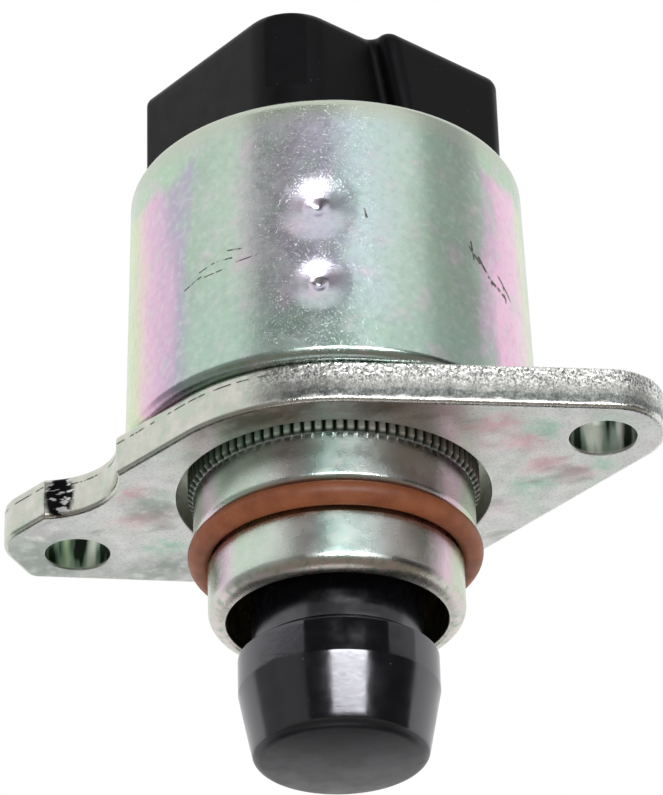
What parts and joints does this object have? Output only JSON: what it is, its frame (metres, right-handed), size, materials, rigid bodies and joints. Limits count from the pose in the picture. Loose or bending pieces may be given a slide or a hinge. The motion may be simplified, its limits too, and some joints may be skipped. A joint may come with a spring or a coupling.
{
  "type": "idle air control valve",
  "caption": "Stepper-driven air valve: tapered black pintle in a stepped neck with an O-ring, an eared flange, a plated motor can and a moulded connector shroud.",
  "frame": {"origin": "centre of the flange's mounting face, midway between its two screw holes", "axes": "+Z towards the connector, with the pintle pointing to -Z; X along the line of the screw holes, with the notched ear at -X"},
  "size_m": [0.0556, 0.0332, 0.0633],
  "materials": {
    "flange_zinc": "pale passivated zinc, matte, with a sheared edge",
    "can_zinc": "satin zinc with an iridescent passivation",
    "neck_zinc": "satin zinc, slightly brownish",
    "o_ring_rubber": "matte brown-orange",
    "cap_plastic": "moulded, fine grain",
    "pintle_plastic": "moulded, semi-gloss",
    "terminal_tin": "tinned",
    "bobbin_plastic": "moulded",
    "winding_copper": "enamelled wire",
    "pole_steel": "stamped",
    "bearing_steel": "ground",
    "bush_bronze": "sintered",
    "magnet_ferrite": "ground ferrite",
    "hub_plastic": "moulded",
    "screw_steel": "rolled",
    "spring_steel": "drawn wire"
  },
  "bodies": {
    "valve_body": {"mounting_flange": "flange_zinc", "motor_can": "can_zinc", "neck_housing": "neck_zinc", "o_ring": "o_ring_rubber", "connector_cap": "cap_plastic", "terminal_1": "terminal_tin", "terminal_2": "terminal_tin", "terminal_3": "terminal_tin", "terminal_4": "terminal_tin", "front_bobbin": "bobbin_plastic", "rear_bobbin": "bobbin_plastic", "front_winding": "winding_copper", "rear_winding": "winding_copper", "front_lower_pole_plate": "pole_steel", "front_upper_pole_plate": "pole_steel", "rear_lower_pole_plate": "pole_steel", "rear_upper_pole_plate": "pole_steel", "bearing_outer_race": "bearing_steel", "bearing_balls": "bearing_steel", "ball_cage": "bush_bronze", "guide_bush": "bush_bronze", "rear_bush": "bush_bronze", "thrust_washer": "bearing_steel", "pintle_spring": "spring_steel"},
    "rotor": {"rotor_magnet": "magnet_ferrite", "rotor_hub": "hub_plastic", "drive_nut": "bush_bronze", "bearing_inner_race": "bearing_steel"},
    "pintle_body": {"pintle": "pintle_plastic", "lead_screw": "screw_steel"}
  },
  "joints": [
    {"name": "rotor_spin", "type": "hinge", "parent": "valve_body", "child": "rotor", "pos_m": [0, 0, 0.013], "axis": [0, 0, 1], "range_deg": [-1080, 2160]},
    {"name": "pintle_slide", "type": "slide", "parent": "valve_body", "child": "pintle_body", "axis": [0, 0, 1], "range_m": [-0.003, 0.006], "deforming": ["pintle_spring"]}
  ],
  "couplings": [
    {"joint": "rotor_spin", "follows": "pintle_slide", "rad_per_m": 6283.2}
  ]
}
